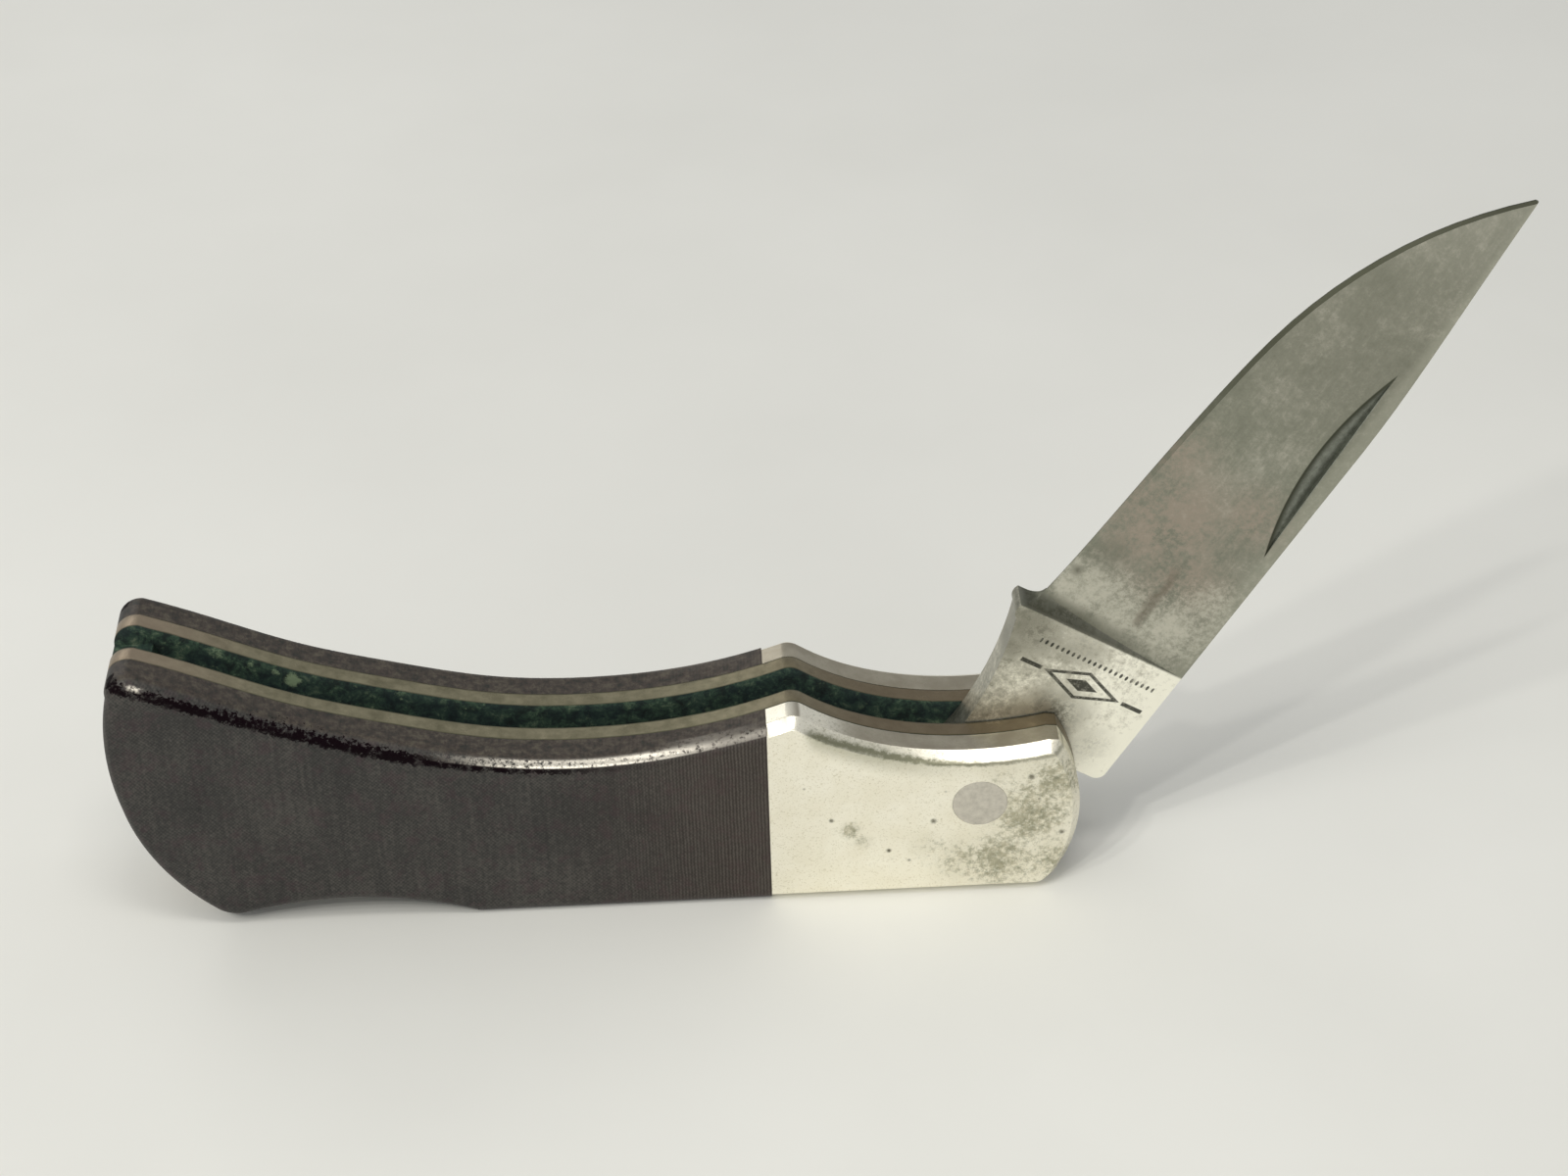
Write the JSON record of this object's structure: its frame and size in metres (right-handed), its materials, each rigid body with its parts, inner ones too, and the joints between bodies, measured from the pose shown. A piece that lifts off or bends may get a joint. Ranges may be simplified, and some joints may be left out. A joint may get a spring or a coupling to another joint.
{
  "type": "lockback folding knife",
  "caption": "Small lockback folding whittling knife with dark phenolic scales, pale metal bolsters and brass liners, standing on its spine with its blade half open.",
  "frame": {"origin": "on the plane of the straight spine, straight under the pivot axis, at mid thickness", "axes": "+X along the handle from butt to pivot, +Y across the thickness away from the nail nick side, +Z from the spine to the open slot"},
  "size_m": [0.1191, 0.0126, 0.0641],
  "materials": {
    "scale": "satin linen phenolic",
    "bolster": "polished nickel silver, tarnished at the front",
    "liner": "dulled brass",
    "rivet": "dulled brass",
    "pin": "flush ground steel",
    "spacer": "brass under verdigris",
    "spring": "dark spring steel",
    "lock_bar": "ground spring steel",
    "blade": "satin stainless steel with patina"
  },
  "bodies": {
    "handle": {"left_scale": "scale", "right_scale": "scale", "left_bolster": "bolster", "right_bolster": "bolster", "left_liner": "liner", "right_liner": "liner", "left_bolster_rivets": "rivet", "right_bolster_rivets": "rivet", "pivot_pin": "pin", "rocker_pin": "pin", "butt_pins": "pin", "butt_spacer": "spacer", "lock_spring": "spring"},
    "blade": {"blade": "blade"},
    "lock_bar": {"lock_bar": "lock_bar"}
  },
  "joints": [
    {"name": "blade_pivot", "type": "hinge", "parent": "handle", "child": "blade", "pos_m": [0, 0, 0.0101], "axis": [0, -1, 0], "range_deg": [-58.4, 121.5]},
    {"name": "lock_rocker", "type": "hinge", "parent": "handle", "child": "lock_bar", "pos_m": [-0.033, 0, 0.003], "axis": [0, 1, 0], "range_deg": [0, 3.5], "stiffness_Nm_per_rad": 0.2, "springref_deg": -1.72}
  ]
}
